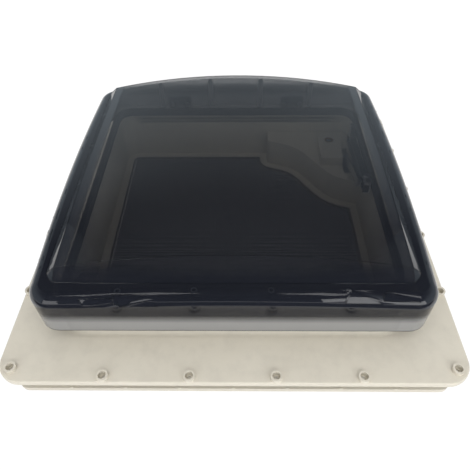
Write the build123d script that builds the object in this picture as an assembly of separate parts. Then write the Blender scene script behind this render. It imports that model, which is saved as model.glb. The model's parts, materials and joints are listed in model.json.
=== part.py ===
from build123d import *
import math
import os

os.makedirs("parts", exist_ok=True)

# Caravan roof vent. Millimetres, +Z up, -Y is the front edge that opens.
# The origin is the middle of the roof opening, on the plane where the flange meets the roof.

# Roof flange with its collar and spigot
flange_corner_r = 26.0
flange_height = 6.0
flange_skin = 3.0
flange_rim = 3.0
flange_edge_r = 1.6
well_side = 354.0
flange_reach = 60.4
well_corner_r = 20.0
well_wall = 2.6
collar_top = 48.9
spigot_drop = 33.9
collar_fillet = 8.0
boss_r = 6.0
boss_rise = 4.4
boss_recess_r = 4.0
boss_floor = 1.6
boss_hole_r = 2.4
boss_inset = 6.2
boss_pitch = 86.8
bosses_per_row = 4
corner_boss_inset = 14.7
screen_lug_length = 12.0
screen_lug_rise = 3.0
screen_lug_reach = 2.0

# Foam gasket between the flange and the roof
gasket_width_share = 0.43
gasket_gap = 4.0
gasket_foot = 0.2

# Clamp frame below the roof: a lipped ring that slides on the spigot
clamp_reach = 50.4
clamp_corner_r = 12.0
clamp_foot = 0.5
clamp_depth = 5.9
clamp_web = 2.4
clamp_rim = 3.0
clamp_clear = 0.5
clamp_sleeve_rise = 6.0
clamp_pad_rise = 1.6
clamp_pad_length = 3.0
clamp_pad_pitch = 57.0
clamp_pads = 7

# Smoked lid: a skirted tub that carries a crowned panel
lid_side_reach = 21.4
lid_bow = 7.0
lid_front_reach = 13.4
lid_back_reach = 19.4
lid_corner_r = 24.0
lid_wall = 3.0
lid_skirt_z = 26.0
tub_top_z = 83.0
tub_crown_r = 2780.0
tub_edge_r = 12.0
crown_z = 110.0
crown_end_drop = 6.0
crown_sagitta = 19.0
crease_inset = 24.0
crease_strip = 13.0
crease_strip_drop = 11.0
crest_front_inset = 36.0
crest_back_inset = 15.0
crest_front_run = 22.0
crest_back_run = 11.0
crest_foot_drop = 26.0
foot_strip_drop = 2.0
foot_sagitta = 6.5

# Rubber seal on the collar's top edge
seal_outer = 2.2
seal_inner = 1.6
seal_top = 4.0
seal_outer_leg = 13.0
seal_inner_leg = 6.0
seal_round = 1.2
seal_gap = 0.4

# Clear inner pane with a raised middle, hung from the lid by spacers
pane_sheet = 3.0
pane_side_gap = 3.0
pane_front_gap = 4.0
pane_back_gap = 5.0
pane_corner_r = 18.0
pane_rise = 12.0
pane_margin = 46.0
pane_slope = 14.0
spacer_r = 3.4
spacer_bore_r = 1.8
spacer_pitch = 74.0
spacers_per_edge = 4
spacer_edge = 5.5
spacer_side_shift = 20.0
pane_screw_r = 1.7
pane_screw_head_r = 3.1
pane_screw_head = 1.6
pane_screw_reach = 10.0

# Hinges along the back edge
hinge_setback = 8.0
hinge_z = 25.0
hinge_x = 87.0
hinge_pin_r = 2.5
hinge_running = 0.05
hinge_side_gap = 0.25
knuckle_r = 5.0
knuckle_half = 7.75
cheek_r = 6.4
cheek_wall = 3.0
bracket_sheet = 2.5
bracket_half_x = 20.0
bracket_back = 19.0
bracket_front = 5.0
leaf_sheet = 2.5
leaf_half_x = 18.0
leaf_low = 9.0
leaf_high = 37.0
leaf_corner_r = 4.0
leaf_neck = 4.5
neck_skirt_gap = 0.4
pin_head_r = 4.0
pin_head = 1.2
screw_r = 2.0
screw_head_r = 3.8
screw_head = 2.2
nut_r = 3.6
nut_height = 2.2
bracket_screw_x = 14.0
bracket_screw_back = 12.0
leaf_screw_x = 12.0
leaf_screw_up = 25.0

# Corner gearbox that winds the lid
face_wall = 2.5
face_start_reach = 90.0
face_start_depth = 25.0
face_mid_reach = 48.0
face_mid_rise = 1.0
face_low_reach = 1.0
face_low_drop = 47.0
face_end_drop = 59.0
face_start_r = 8.0
face_mid_r = 60.0
face_low_r = 50.0
case_top = 12.0
case_plate = 2.5
case_foot = 33.4
base_gap = 0.2
base_floor = 17.5
base_boss_r = 9.0
base_boss_rise = 3.0
groove_r = 4.0
groove_reach = 7.0
worm_inset = 41.0
gear_z = 4.0
gear_module = 2.0
gear_teeth = 16
gear_width = 6.0
gear_hub_r = 8.0
worm_pitch_r = 7.0
worm_core_gap = 0.6
thread_tip_gap = 0.3
worm_tooth_share = 0.34
gear_tooth_share = 0.34
tooth_taper_share = 0.36
worm_thread_turns = 3.5
worm_shaft_r = 4.0
shaft_running = 0.05
bush_wall = 2.5
bush_flange_r = 8.0
bush_flange = 1.0
cap_wall = 2.0
cap_half_x = 16.0
cap_front_reach = 21.0
cap_back_reach = 14.0
cap_rise = 13.5
cap_boss_drop = 4.0
arm_shaft_r = 4.0
arm_shaft_lead = 7.0
rib_gap = 7.0
rib_wall = 3.0
rib_slot_land = 3.0
wall_boss = 4.5
wall_boss_r = 9.0
slot_gap = 1.0
slot_back = 19.0
slot_front = 38.0
sector_from = -22.0
sector_to = 112.0

# Lift arm, its roller and the track under the lid
roller_z = 40.0
arm_sheet = 4.0
arm_width = 11.0
arm_bend = 7.0
arm_hub_r = 9.0
arm_hub_length = 10.0
arm_end_r = 7.0
roller_r = 5.5
roller_length = 6.0
roller_gap = 2.0
roller_pin_r = 2.0
roller_pin_collar_r = 3.0
roller_running = 0.05
track_gap = 0.3
track_sheet = 1.6
track_web_gap = 1.0
track_lip_gap = 0.4
track_seal_gap = 0.8
track_ends = 16.0
track_stop = 2.0
foot_length = 14.0
lid_open_angle = 45.0

# Folding crank below the gearbox
crank_hub_r = 11.0
crank_hub_gap = 0.8
crank_hub_depth = 11.7
crank_pin_out = 7.6
crank_pin_drop = 5.7
crank_pin_r = 1.5
crank_pin_running = 0.05
crank_tongue = 5.0
crank_tongue_r = 3.0
crank_slot_gap = 0.3
crank_slot_top = 1.7
crank_width = 9.0
crank_sheet = 4.4
crank_wide_from = 14.4
crank_reach = 25.0
knob_r = 6.5
knob_height = 6.4
knob_gap = 0.3
knob_pin_r = 1.5
knob_running = 0.05
knob_pin_head = 0.6
knob_pin_head_r = 2.6

# Fly screen in the spigot
screen_gap = 0.4
screen_bar = 13.0
screen_depth = 4.4
screen_foot = 0.5
screen_rebate = 1.4
screen_ledge = 3.0
net_sheet = 0.8
net_bar = 2.0
net_cell = 19.0
net_cells_per_side = 17

cut_over = 1.0

# Worked out from the sizes above
well_half = well_side / 2
wall_out = well_half + well_wall
flange_half = wall_out + flange_reach
corner_boss_at = flange_half - corner_boss_inset
gasket_width = flange_reach * gasket_width_share
wall_out_r = well_corner_r + well_wall
boss_row = flange_half - boss_inset
lid_half_x = wall_out + lid_side_reach
lid_front = -wall_out - lid_front_reach
lid_back = wall_out + lid_back_reach
crease_x = lid_half_x - crease_inset
crest_front_y = lid_front + crest_front_inset
crest_back_y = lid_back - crest_back_inset
hinge_y = lid_back + hinge_setback
pane_half_x = lid_half_x - lid_wall - pane_side_gap
pane_front = lid_front + lid_wall + pane_front_gap
pane_back = lid_back - lid_wall - pane_back_gap
seal_top_z = collar_top + seal_top
pane_z = seal_top_z + seal_gap
pane_top_z = pane_z + pane_sheet
roller_in_x = well_half - seal_inner - track_seal_gap - track_sheet - track_web_gap - roller_length
arm_x = roller_in_x - roller_gap - arm_sheet / 2
rib_x = arm_x - arm_hub_length / 2 - slot_gap - rib_slot_land - rib_wall
worm_x = rib_x - rib_gap - gear_width / 2
worm_y = well_half - worm_inset
gear_r = gear_module * gear_teeth / 2
gear_y = worm_y - gear_r - worm_pitch_r
face_start_x = worm_x - face_start_reach
face_start_y = well_half - face_start_depth
face_mid_x = worm_x - face_mid_reach
face_mid_y = worm_y + face_mid_rise
face_low_x = worm_x - face_low_reach
face_low_y = gear_y - face_low_drop
face_end_y = gear_y - face_end_drop
groove_x = worm_x - groove_reach
gear_tip_r = gear_r + gear_module
gear_root_r = gear_r - gear_module - thread_tip_gap
worm_tip_r = worm_pitch_r + gear_module
worm_core_r = worm_pitch_r - gear_module - worm_core_gap
tooth_pitch = math.pi * gear_module
arm_length = math.hypot(hinge_y - gear_y, hinge_z - gear_z)
arm_rise = math.asin((roller_z - gear_z) / arm_length)
roller_y = gear_y - arm_length * math.cos(arm_rise)
track_angle = math.atan2(roller_z - hinge_z, hinge_y - roller_y)
roller_far = math.hypot(hinge_y - roller_y, roller_z - hinge_z)
track_turn = math.acos(roller_far / (2 * arm_length))
roller_near = 2 * arm_length * math.cos(track_turn + math.radians(lid_open_angle))


def block(x0, x1, y0, y1, z0, z1):
    """A box from its two corners."""
    return Pos((x0 + x1) / 2, (y0 + y1) / 2, (z0 + z1) / 2) * Box(x1 - x0, y1 - y0, z1 - z0)


def slab(half, corner_r, z0, z1):
    """A square plate with rounded corners, centred on the opening."""
    return Pos(0, 0, z0) * extrude(RectangleRounded(2 * half, 2 * half, corner_r), z1 - z0)


def rod(x, y, z0, z1, r):
    """A round bar along Z."""
    return Pos(x, y, (z0 + z1) / 2) * Cylinder(r, z1 - z0)


def rod_x(x0, x1, y, z, r):
    """A round bar along X."""
    return Pos((x0 + x1) / 2, y, z) * Rot(0, 90, 0) * Cylinder(r, x1 - x0)


def rod_y(x, y0, y1, z, r):
    """A round bar along Y."""
    return Pos(x, (y0 + y1) / 2, z) * Rot(90, 0, 0) * Cylinder(r, y1 - y0)


def group(shapes):
    """Separate solids that share one node."""
    return Compound(children=[s for shape in shapes for s in shape.solids()])


def boss_places():
    """The twenty fixing places round the flange."""
    row = [boss_pitch * (i - (bosses_per_row - 1) / 2) for i in range(bosses_per_row)]
    places = [(s * corner_boss_at, t * corner_boss_at) for s in (-1, 1) for t in (-1, 1)]
    places += [(u, s * boss_row) for u in row for s in (-1, 1)]
    places += [(s * boss_row, u) for u in row for s in (-1, 1)]
    return places


def make_roof_frame():
    """Flange, collar and spigot, moulded as one piece."""
    plate = slab(flange_half, flange_corner_r, 0, flange_height)
    plate = fillet(plate.faces().sort_by(Axis.Z)[-1].edges(), flange_edge_r)
    recess = slab(flange_half - flange_rim, flange_corner_r - flange_rim, -cut_over, flange_skin)
    tube = slab(wall_out, wall_out_r, -spigot_drop, collar_top)
    body = plate - recess + tube
    ring = [e for e in body.edges() if abs(e.center().Z - flange_height) < flange_edge_r / 2
            and max(abs((e @ 0).X), abs((e @ 0).Y)) < wall_out + collar_fillet]
    body = fillet(ring, collar_fillet)
    body -= slab(well_half, well_corner_r, -spigot_drop - cut_over, collar_top + cut_over)
    top = flange_height + boss_rise
    for x, y in boss_places():
        body += rod(x, y, 0, top, boss_r)
    body &= slab(flange_half, flange_corner_r, -spigot_drop, collar_top)
    for x, y in boss_places():
        body -= rod(x, y, flange_height - boss_floor, top + cut_over, boss_recess_r)
        body -= rod(x, y, -cut_over, top, boss_hole_r)
    low = screen_foot - spigot_drop + screen_depth
    for turn in (90, 180, 270):
        lug = block(well_half - screen_lug_reach, well_half + well_wall / 2,
                    -screen_lug_length / 2, screen_lug_length / 2, low, low + screen_lug_rise)
        body += Rot(0, 0, turn) * lug
    for sx in (-1, 1):
        for dx in (-bracket_screw_x, bracket_screw_x):
            body -= rod(sx * hinge_x + dx, hinge_y + bracket_screw_back, 0, top, screw_r)
    return body


def make_gasket():
    """Foam strip in the flange recess."""
    inner = wall_out + gasket_gap
    ring = slab(inner + gasket_width, wall_out_r + gasket_gap + gasket_width, gasket_foot, flange_skin)
    return ring - slab(inner, wall_out_r + gasket_gap, -cut_over, flange_skin + cut_over)


def make_clamp_frame():
    """Ring that clamps the roof from inside, seen as the lower lip."""
    half = wall_out + clamp_reach
    low = -spigot_drop - clamp_foot
    top = low + clamp_depth
    sleeve_top = top + clamp_sleeve_rise
    ring = slab(half, clamp_corner_r, low, top)
    ring -= slab(half - clamp_rim, clamp_corner_r - clamp_rim, low + clamp_web, top + cut_over)
    ring += slab(wall_out + clamp_clear + clamp_rim, wall_out_r + clamp_clear + clamp_rim, low, sleeve_top)
    for turn in (0, 90, 180, 270):
        for i in range(clamp_pads):
            u = clamp_pad_pitch * (i - (clamp_pads - 1) / 2)
            pad = block(half - clamp_rim, half, u - clamp_pad_length / 2, u + clamp_pad_length / 2,
                        low + clamp_web, top + clamp_pad_rise)
            ring += Rot(0, 0, turn) * pad
    hole = slab(wall_out + clamp_clear, wall_out_r + clamp_clear, low - cut_over, sleeve_top + cut_over)
    return ring - hole


def lid_outline(inset):
    """Plan of the lid: straight front and back, bowed sides, round corners."""
    x = lid_half_x - inset
    front = lid_front + inset
    back = lid_back - inset
    middle = (front + back) / 2
    loop = Wire([Line((-x, front, 0), (x, front, 0)),
                 ThreePointArc((x, front, 0), (x + lid_bow, middle, 0), (x, back, 0)),
                 Line((x, back, 0), (-x, back, 0)),
                 ThreePointArc((-x, back, 0), (-x - lid_bow, middle, 0), (-x, front, 0))])
    face = make_face(loop)
    return fillet(face.vertices(), lid_corner_r - inset)


def lid_section(y, z_mid, sagitta, z_edge, w):
    """One cross-section of the crowned panel, with its sloping side strips."""
    z_low = lid_skirt_z + tub_edge_r
    z_crease = z_mid - sagitta
    loop = Wire([Line((-w, y, z_low), (-w, y, z_edge)),
                 Line((-w, y, z_edge), (-crease_x, y, z_crease)),
                 ThreePointArc((-crease_x, y, z_crease), (0, y, z_mid), (crease_x, y, z_crease)),
                 Line((crease_x, y, z_crease), (w, y, z_edge)),
                 Line((w, y, z_edge), (w, y, z_low)),
                 Line((w, y, z_low), (-w, y, z_low))])
    return make_face(loop)


def lid_body(inset):
    """Outer form of the lid, or its hollow when the wall is given as inset."""
    z_low = lid_skirt_z - (cut_over if inset else 0)
    height = crown_z
    tub = Pos(0, 0, z_low) * extrude(lid_outline(inset), height)
    tub &= rod_y(0, -flange_half, flange_half, tub_top_z - inset - tub_crown_r, tub_crown_r)
    tub = fillet(tub.faces().sort_by(Axis.Z)[-1].edges(), tub_edge_r - inset)
    z_top = crown_z - inset
    z_end = z_top - crown_end_drop
    z_foot = z_end - crest_foot_drop
    z_edge = z_end - crown_sagitta - crease_strip_drop
    z_foot_edge = z_foot - foot_sagitta - foot_strip_drop
    front = crest_front_y + inset / 2
    back = crest_back_y - inset / 2
    w = crease_x + crease_strip - inset
    foot_front = lid_section(front - crest_front_run, z_foot, foot_sagitta, z_foot_edge, w)
    end_front = lid_section(front, z_end, crown_sagitta, z_edge, w)
    middle = lid_section((front + back) / 2, z_top, crown_sagitta, z_edge, w)
    end_back = lid_section(back, z_end, crown_sagitta, z_edge, w)
    foot_back = lid_section(back + crest_back_run, z_foot, foot_sagitta, z_foot_edge, w)
    panel = loft([foot_front, end_front], ruled=True)
    panel += loft([end_front, middle, end_back])
    panel += loft([end_back, foot_back], ruled=True)
    panel &= Pos(0, 0, z_low) * extrude(lid_outline(inset + lid_wall), height)
    return tub + panel


def make_lid():
    """Smoked acrylic lid, open below, with the holes for its hinge screws."""
    lid = lid_body(0) - lid_body(lid_wall)
    for x, z in leaf_screw_places():
        lid -= rod_y(x, lid_back - lid_wall - cut_over, lid_back + cut_over, z, screw_r)
    return lid


def seal_section_z():
    return collar_top - seal_outer_leg, collar_top - seal_inner_leg


def make_seal():
    """Channel-shaped rubber seal pushed over the collar."""
    z_out, z_in = seal_section_z()
    outer = wall_out + seal_outer
    inner = well_half - seal_inner
    ring = slab(outer, wall_out_r + seal_outer, z_out, seal_top_z)
    ring = fillet(ring.faces().sort_by(Axis.Z)[-1].edges(), seal_round)
    ring -= slab(inner, well_corner_r - seal_inner, z_out - cut_over, seal_top_z + cut_over)
    ring -= slab(wall_out, wall_out_r, z_out - cut_over, z_in)
    ring -= slab(wall_out, wall_out_r, z_in - cut_over, collar_top) - slab(
        well_half, well_corner_r, z_in - cut_over, collar_top)
    return ring


def spacer_places():
    """Four spacers along each edge of the inner pane."""
    row = [spacer_pitch * (i - (spacers_per_edge - 1) / 2) for i in range(spacers_per_edge)]
    front = pane_front + spacer_edge
    back = pane_back - spacer_edge
    side = pane_half_x - spacer_edge
    places = [(u, y) for u in row for y in (front, back)]
    places += [(s * side, u + spacer_side_shift) for u in row for s in (-1, 1)]
    return places


def pane_solid(low, inset):
    """Sheet with a raised middle, as a solid that starts at the given height."""
    x = pane_half_x
    y_mid = (pane_front + pane_back) / 2
    y_half = (pane_back - pane_front) / 2
    flat = Pos(0, y_mid, low) * extrude(RectangleRounded(2 * x, 2 * y_half, pane_corner_r), pane_sheet)
    foot = [2 * (v - pane_margin - inset) for v in (x, y_half)]
    roof = [v - 2 * pane_slope for v in foot]
    z0 = low + pane_sheet
    z1 = z0 + pane_rise
    hip = loft([Pos(0, y_mid, z0) * Rectangle(*foot), Pos(0, y_mid, z1) * Rectangle(*roof)], ruled=True)
    return flat, hip


def pane_screw_cone(x, y):
    """Countersunk head, also cut out of the pane."""
    return Pos(x, y, pane_z + pane_screw_head / 2) * Cone(pane_screw_head_r, pane_screw_r, pane_screw_head)


def make_inner_pane():
    """Clear second pane: flat margin and a raised, hipped middle."""
    flat, hip = pane_solid(pane_z, 0)
    low, low_hip = pane_solid(pane_z - pane_sheet, pane_sheet)
    y_mid = (pane_front + pane_back) / 2
    foot_x = 2 * (pane_half_x - pane_margin - pane_sheet)
    foot_y = pane_back - pane_front - 2 * (pane_margin + pane_sheet)
    well = Pos(0, y_mid, pane_z - cut_over) * extrude(Rectangle(foot_x, foot_y), cut_over)
    pane = flat + hip - low_hip - well
    for x, y in spacer_places():
        pane -= rod(x, y, pane_z - cut_over, pane_top_z + cut_over, pane_screw_r)
        pane -= pane_screw_cone(x, y)
    for x, y in track_screw_places():
        pane -= rod(x, y, pane_z - cut_over, pane_top_z + cut_over, screw_r)
    return pane


def make_spacers(lid):
    """Hollow posts between the pane and the underside of the lid."""
    posts = group([rod(x, y, pane_top_z, crown_z, spacer_r) for x, y in spacer_places()])
    low_ends = (posts - lid).solids().filter_by(lambda s: abs(s.bounding_box().min.Z - pane_top_z) < spacer_r)
    bores = [rod(x, y, pane_z, crown_z + cut_over, spacer_bore_r) for x, y in spacer_places()]
    return group(low_ends) - group(bores)


def make_pane_screws():
    """Countersunk screws, flush with the underside of the pane."""
    screws = []
    for x, y in spacer_places():
        shank = rod(x, y, pane_z, pane_top_z + pane_screw_reach, pane_screw_r)
        screws.append(pane_screw_cone(x, y) + shank)
    return group(screws)


def make_bracket(x):
    """Hinge bracket on the flange: base plate and two cheeks."""
    top = flange_height + bracket_sheet
    body = block(x - bracket_half_x, x + bracket_half_x, hinge_y - bracket_front, hinge_y + bracket_back,
                 flange_height, top)
    for s in (-1, 1):
        near = x + s * (knuckle_half + hinge_side_gap)
        far = near + s * cheek_wall
        x0, x1 = min(near, far), max(near, far)
        body += rod_x(x0, x1, hinge_y, hinge_z, cheek_r)
        front = hinge_y - cheek_r + hinge_side_gap
        body += block(x0, x1, front, hinge_y + cheek_r, flange_height, hinge_z)
    body -= rod_x(x - bracket_half_x, x + bracket_half_x, hinge_y, hinge_z, hinge_pin_r)
    for dx in (-bracket_screw_x, bracket_screw_x):
        body -= rod(x + dx, hinge_y + bracket_screw_back, 0, top + cut_over, screw_r)
    return body


def make_hinge_pin(x):
    """Headed pin through both cheeks."""
    reach = knuckle_half + hinge_side_gap + cheek_wall
    pin = rod_x(x - reach, x + reach, hinge_y, hinge_z, hinge_pin_r)
    pin += rod_x(x - reach - pin_head, x - reach, hinge_y, hinge_z, pin_head_r)
    pin += rod_x(x + reach, x + reach + pin_head, hinge_y, hinge_z, pin_head_r)
    return pin


def make_bracket_screws():
    """Screws and nuts that hold the brackets to the flange."""
    parts = []
    y = hinge_y + bracket_screw_back
    seat = flange_height + bracket_sheet
    for s in (-1, 1):
        for dx in (-bracket_screw_x, bracket_screw_x):
            x = s * hinge_x + dx
            shank = rod(x, y, flange_skin - nut_height, seat, screw_r)
            head = rod(x, y, seat, seat + screw_head, screw_head_r)
            nut = Pos(x, y, flange_skin - nut_height) * extrude(RegularPolygon(nut_r, 6), nut_height)
            parts.append(shank + head + nut)
    return group(parts)


def leaf_screw_places():
    across = [s * hinge_x + dx for s in (-1, 1) for dx in (-leaf_screw_x, leaf_screw_x)]
    return [(x, hinge_z + leaf_screw_up) for x in across]


def make_leaf(x):
    """Hinge leaf screwed to the back of the lid, with its knuckle."""
    y0 = lid_back
    y1 = lid_back + leaf_sheet
    z0 = hinge_z + leaf_low
    z1 = hinge_z + leaf_high
    plate = block(x - leaf_half_x, x + leaf_half_x, y0, y1, z0, z1)
    plate = fillet(plate.edges().filter_by(Axis.Y), leaf_corner_r)
    neck = block(x - knuckle_half, x + knuckle_half, y0 + neck_skirt_gap, y0 + leaf_neck,
                 hinge_z, z0 + leaf_low)
    body = plate + neck + rod_x(x - knuckle_half, x + knuckle_half, hinge_y, hinge_z, knuckle_r)
    body -= rod_x(x - leaf_half_x, x + leaf_half_x, hinge_y, hinge_z, hinge_pin_r + hinge_running)
    for dx in (-leaf_screw_x, leaf_screw_x):
        body -= rod_y(x + dx, y0 - cut_over, y0 + leaf_neck + cut_over, hinge_z + leaf_screw_up, screw_r)
    return body


def make_leaf_screws():
    """Screws and nuts through the leaves and the lid."""
    parts = []
    y0 = lid_back - lid_wall
    y1 = lid_back + leaf_sheet
    for x, z in leaf_screw_places():
        screw = rod_y(x, y0 - nut_height, y1, z, screw_r) + rod_y(x, y1, y1 + screw_head, z, screw_head_r)
        parts.append(screw + rod_y(x, y0 - nut_height, y0, z, nut_r))
    return group(parts)


def case_outline():
    """Plan of the gearbox corner: an S-shaped face between two walls of the well."""
    line = FilletPolyline([(face_start_x, well_half), (face_start_x, face_start_y), (face_mid_x, face_mid_y),
                           (face_low_x, face_low_y), (well_half, face_end_y)],
                          radius=[face_start_r, face_mid_r, face_low_r])
    close = Polyline([(well_half, face_end_y), (well_half, well_half), (face_start_x, well_half)])
    return make_face(Wire(line.edges() + close.edges()))


def case_prism(inset, z0, z1):
    """The gearbox plan, drawn in or let out, as a prism inside the well."""
    face = case_outline()
    if inset:
        face = offset(face, amount=-inset, kind=Kind.INTERSECTION)
    prism = Pos(0, 0, z0) * extrude(face, z1 - z0)
    return prism & slab(well_half - max(inset, 0), well_corner_r - max(inset, 0), z0, z1)


def make_gearbox_case():
    """S-faced corner housing with its top plate, shaft rib and wall boss."""
    body = case_prism(0, -case_foot, case_top)
    body -= case_prism(face_wall, -case_foot - cut_over, case_top - case_plate)
    rib = block(rib_x, rib_x + rib_wall, face_end_y, gear_y + wall_boss_r,
                -base_floor + case_plate, case_top - case_plate / 2)
    body += rib & case_prism(face_wall / 2, -case_foot, case_top)
    boss_x = well_half - face_wall - wall_boss
    boss = rod_x(boss_x, well_half - face_wall / 2, gear_y, gear_z, wall_boss_r)
    body += boss & slab(flange_half, flange_corner_r, -case_foot, case_top - case_plate / 2)
    seat_r = arm_shaft_r + bush_wall
    body -= rod_x(rib_x - cut_over, rib_x + rib_wall + cut_over, gear_y, gear_z, seat_r)
    body -= rod_x(boss_x - cut_over, well_half - face_wall / 2, gear_y, gear_z, seat_r)
    body -= block(worm_x - cap_half_x + cap_wall, worm_x + cap_half_x - cap_wall,
                  gear_y - cap_front_reach + cap_wall, worm_y + cap_back_reach - cap_wall,
                  case_top - case_plate - cut_over, case_top + cut_over)
    half_slot = arm_hub_length / 2 + slot_gap
    body -= block(arm_x - half_slot, arm_x + half_slot, gear_y - slot_front, gear_y + slot_back,
                  case_top - case_plate - cut_over, case_top + cut_over)
    return body - rod(groove_x, groove_y(), -case_foot - cut_over, case_top + cut_over, groove_r)


def groove_y():
    """Where the screw groove meets the sloping face."""
    share = (groove_x - face_mid_x) / (face_low_x - face_mid_x)
    return face_mid_y + share * (face_low_y - face_mid_y) - groove_r


def make_case_base():
    """Floor plate of the gearbox with the seat of the lower worm bush."""
    z1 = -base_floor + case_plate
    plate = case_prism(face_wall + base_gap, -base_floor, z1)
    plate += rod(worm_x, worm_y, -base_floor, z1 + base_boss_rise, base_boss_r)
    return plate - rod(worm_x, worm_y, -base_floor - cut_over, z1 + base_boss_rise + cut_over,
                       worm_shaft_r + bush_wall)


def make_gearbox_cap():
    """Raised cover over the worm and sector."""
    x0, x1 = worm_x - cap_half_x, worm_x + cap_half_x
    y0, y1 = gear_y - cap_front_reach, worm_y + cap_back_reach
    top = case_top + cap_rise
    cap = block(x0, x1, y0, y1, case_top, top)
    cap = fillet(cap.edges().filter_by(Axis.Z), cap_wall)
    cap -= block(x0 + cap_wall, x1 - cap_wall, y0 + cap_wall, y1 - cap_wall,
                 case_top - cut_over, top - cap_wall)
    cap += rod(worm_x, worm_y, top - cap_wall - cap_boss_drop, top, base_boss_r)
    return cap - rod(worm_x, worm_y, case_top, top + cut_over, worm_shaft_r + bush_wall)


def make_worm_bush(z0, z1, flange_z):
    """Flanged plain bush for the worm shaft."""
    bush = rod(worm_x, worm_y, z0, z1, worm_shaft_r + bush_wall)
    bush += rod(worm_x, worm_y, flange_z, flange_z + bush_flange, bush_flange_r)
    return bush - rod(worm_x, worm_y, z0 - flange_half, z1 + flange_half, worm_shaft_r + shaft_running)


def make_shaft_bushes():
    """Two plain bushes for the arm shaft."""
    outer = arm_shaft_r + bush_wall
    hole = arm_shaft_r + shaft_running
    inner_bush = rod_x(rib_x, rib_x + rib_wall, gear_y, gear_z, outer)
    wall_x = well_half - face_wall
    outer_bush = rod_x(wall_x - wall_boss, wall_x + face_wall / 2, gear_y, gear_z, outer)
    bore = rod_x(rib_x - cut_over, wall_x, gear_y, gear_z, hole)
    return group([inner_bush - bore, outer_bush - bore])


def make_worm():
    """Vertical worm shaft with one real helical thread."""
    z_hub = -base_floor - crank_hub_gap - crank_hub_depth
    z_top = case_top + cap_rise - cap_wall
    height = worm_thread_turns * tooth_pitch
    foot = tooth_pitch * worm_tooth_share * (1 + tooth_taper_share) / 2
    tip = tooth_pitch * worm_tooth_share * (1 - tooth_taper_share) / 2
    r0 = worm_core_r - thread_tip_gap
    r1 = worm_tip_r - thread_tip_gap
    corners = [(r0, 0, -foot), (r1, 0, -tip), (r1, 0, tip), (r0, 0, foot), (r0, 0, -foot)]
    path = Helix(pitch=tooth_pitch, height=height, radius=worm_pitch_r)
    thread = sweep(make_face(Polyline(corners)), path=path, is_frenet=True)
    phase = 270 - 360 * (worm_thread_turns + 1) / 2
    thread = Pos(worm_x, worm_y, gear_z - height / 2) * Rot(0, 0, phase) * thread
    core_half = (height + worm_shaft_r) / 2
    core = rod(worm_x, worm_y, gear_z - core_half, gear_z + core_half, worm_core_r)
    return rod(worm_x, worm_y, z_hub, z_top, worm_shaft_r) + core + thread


def make_sector():
    """Sector gear on the arm shaft; only the teeth that meet the worm are cut."""
    foot = tooth_pitch * gear_tooth_share * (1 + tooth_taper_share) / 2
    tip = tooth_pitch * gear_tooth_share * (1 - tooth_taper_share) / 2
    step = 360 / gear_teeth
    first = math.ceil(sector_from / step + 0.5)
    last = math.floor(sector_to / step - 0.5)
    r0 = gear_root_r - gear_module / 2
    r1 = gear_tip_r - thread_tip_gap
    wheel = Cylinder(gear_root_r, gear_width)
    middle = (sector_from + sector_to) / 2
    reach = 2 * gear_r
    spread = math.radians((sector_to - sector_from) / 2)
    side_x, side_y = reach * math.cos(spread), reach * math.sin(spread)
    corners = [(0, 0), (side_x, -side_y), (reach, -side_y), (reach, side_y), (side_x, side_y), (0, 0)]
    wedge = extrude(make_face(Polyline(corners)), gear_width / 2, both=True)
    wheel = wheel & Rot(0, 0, middle) * wedge
    for i in range(first, last + 1):
        tooth = make_face(Polyline([(r0, -foot), (r1, -tip), (r1, tip), (r0, foot), (r0, -foot)]))
        wheel += Rot(0, 0, i * step) * extrude(tooth, gear_width / 2, both=True)
    wheel += Cylinder(gear_hub_r, gear_width)
    wheel -= Cylinder(arm_shaft_r, gear_width + cut_over)
    side = Plane(origin=(worm_x, gear_y, gear_z), x_dir=(0, 1, 0), z_dir=(1, 0, 0))
    return side * wheel


def make_arm_shaft():
    """Cross shaft that joins the sector and the lift arm."""
    x0 = worm_x - arm_shaft_lead
    x1 = well_half - face_wall
    return rod_x(x0, x1, gear_y, gear_z, arm_shaft_r)


def make_lift_arm():
    """Curved strap from the shaft to the roller, with its hub."""
    side = Plane(origin=(arm_x, gear_y, gear_z), x_dir=(0, -1, 0), z_dir=(-1, 0, 0))
    end = (arm_length * math.cos(arm_rise), arm_length * math.sin(arm_rise))
    half = (end[0] / 2 - arm_bend * math.sin(arm_rise), end[1] / 2 + arm_bend * math.cos(arm_rise))
    line = ThreePointArc((0, 0), half, end)
    strap = make_face(offset(line, amount=arm_width / 2, side=Side.BOTH))
    strap = extrude(strap, arm_sheet / 2, both=True)
    strap += Pos(end[0], end[1], 0) * Cylinder(arm_end_r, arm_sheet)
    strap += Cylinder(arm_hub_r, arm_hub_length)
    strap -= Cylinder(arm_shaft_r, arm_hub_length + cut_over)
    strap -= Pos(end[0], end[1], 0) * Cylinder(roller_pin_r, arm_sheet + cut_over)
    return side * strap


def roller_span():
    return roller_in_x, roller_in_x + roller_length


def make_roller_pin():
    """Riveted pin that carries the roller."""
    x0, x1 = roller_span()
    pin = rod_x(arm_x - arm_sheet / 2, x1 + track_lip_gap, roller_y, roller_z, roller_pin_r)
    collar = rod_x(arm_x + arm_sheet / 2, x0 - track_lip_gap, roller_y, roller_z, roller_pin_collar_r)
    return pin + collar


def make_roller():
    """Plastic roller that runs in the track."""
    x0, x1 = roller_span()
    wheel = rod_x(x0, x1, roller_y, roller_z, roller_r)
    return wheel - rod_x(x0 - cut_over, x1 + cut_over, roller_y, roller_z, roller_pin_r + roller_running)


def track_plane():
    """Plane of the track's side view: along the line from the hinge axis to the roller."""
    x_dir = (0, -math.cos(track_angle), math.sin(track_angle))
    return Plane(origin=(0, hinge_y, hinge_z), x_dir=x_dir, z_dir=(-1, 0, 0))


def track_span():
    return roller_near - track_ends, roller_far + track_ends


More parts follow.
